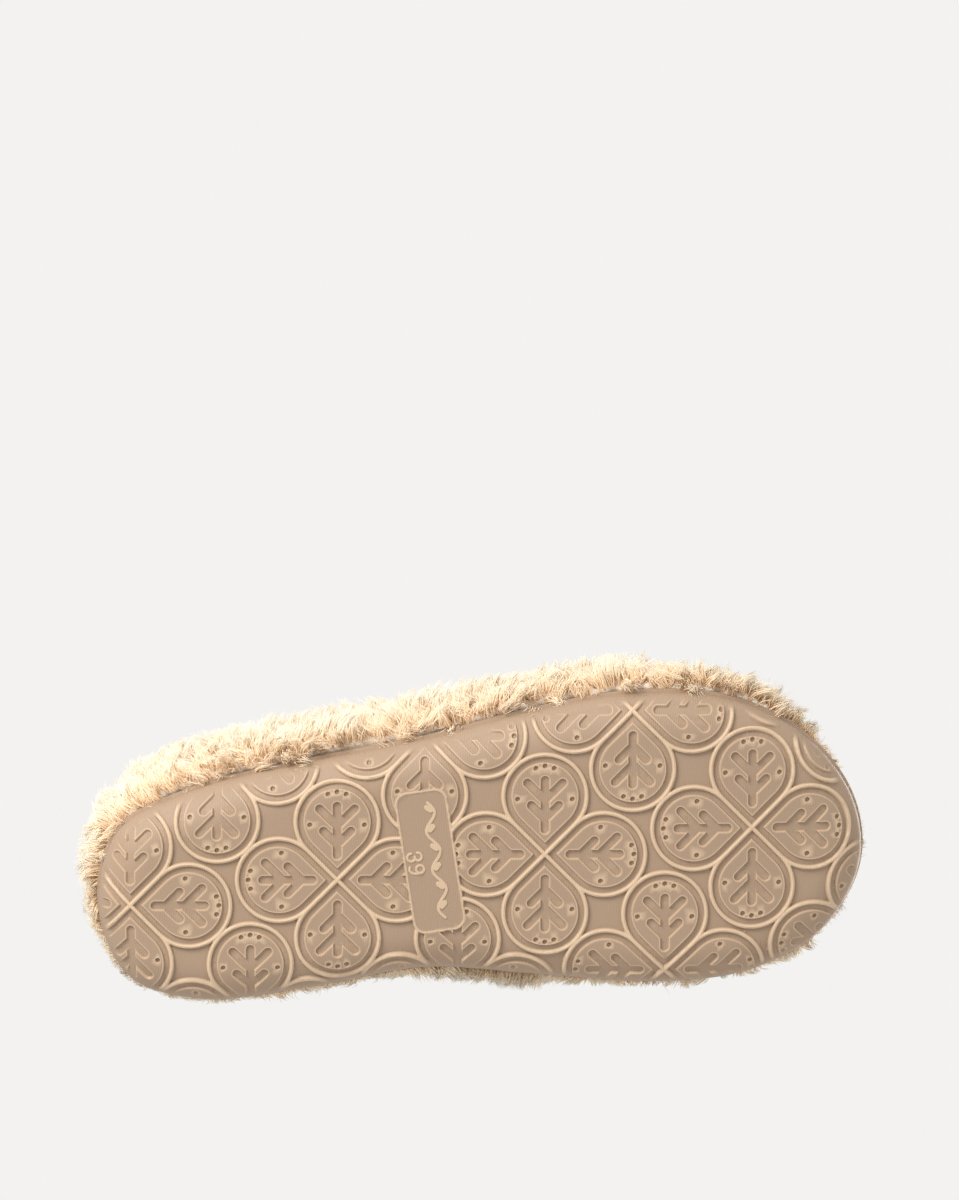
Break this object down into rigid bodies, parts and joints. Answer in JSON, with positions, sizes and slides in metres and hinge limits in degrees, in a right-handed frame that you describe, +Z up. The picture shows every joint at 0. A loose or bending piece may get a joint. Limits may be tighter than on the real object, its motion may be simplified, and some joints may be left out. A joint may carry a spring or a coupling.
{
  "type": "fluffy house slipper",
  "caption": "Closed-back house slipper with a curly pile upper and lining, a padded mouth roll, a soft footbed and a moulded sole with a rolled-up edge.",
  "frame": {"origin": "on the ground, under the middle of the slipper's outline", "axes": "+Z up from the ground, -Y towards the toe, -X towards the outer side of the foot"},
  "size_m": [0.1086, 0.2714, 0.088],
  "materials": {
    "sole_rubber": "matt moulded rubber",
    "curly_pile": "curly cream pile",
    "lining_pile": "soft cream pile",
    "foam": "open foam",
    "board": "pressed fibre board",
    "felt": "felt",
    "stiffener": "resin-stiffened cloth",
    "tape": "woven tape",
    "thread": "twisted thread"
  },
  "bodies": {
    "root": {"outsole": "sole_rubber", "midsole_foam": "foam", "insole_board": "board", "memory_foam_pad": "foam", "footbed_fleece": "lining_pile", "strobel_thread": "thread", "vamp_outer": "curly_pile", "quarter_outer_lateral": "curly_pile", "quarter_outer_medial": "curly_pile", "vamp_lining": "lining_pile", "quarter_lining_lateral": "lining_pile", "quarter_lining_medial": "lining_pile", "toe_puff": "stiffener", "vamp_interlining_toe": "felt", "vamp_interlining_lateral": "felt", "vamp_interlining_medial": "felt", "seam_tape_lateral": "tape", "seam_tape_medial": "tape", "heel_counter": "stiffener", "back_seam_tape": "tape", "quarter_interlining_lateral": "felt", "quarter_interlining_medial": "felt", "collar_roll": "lining_pile", "topline_thread": "thread"}
  },
  "joints": []
}
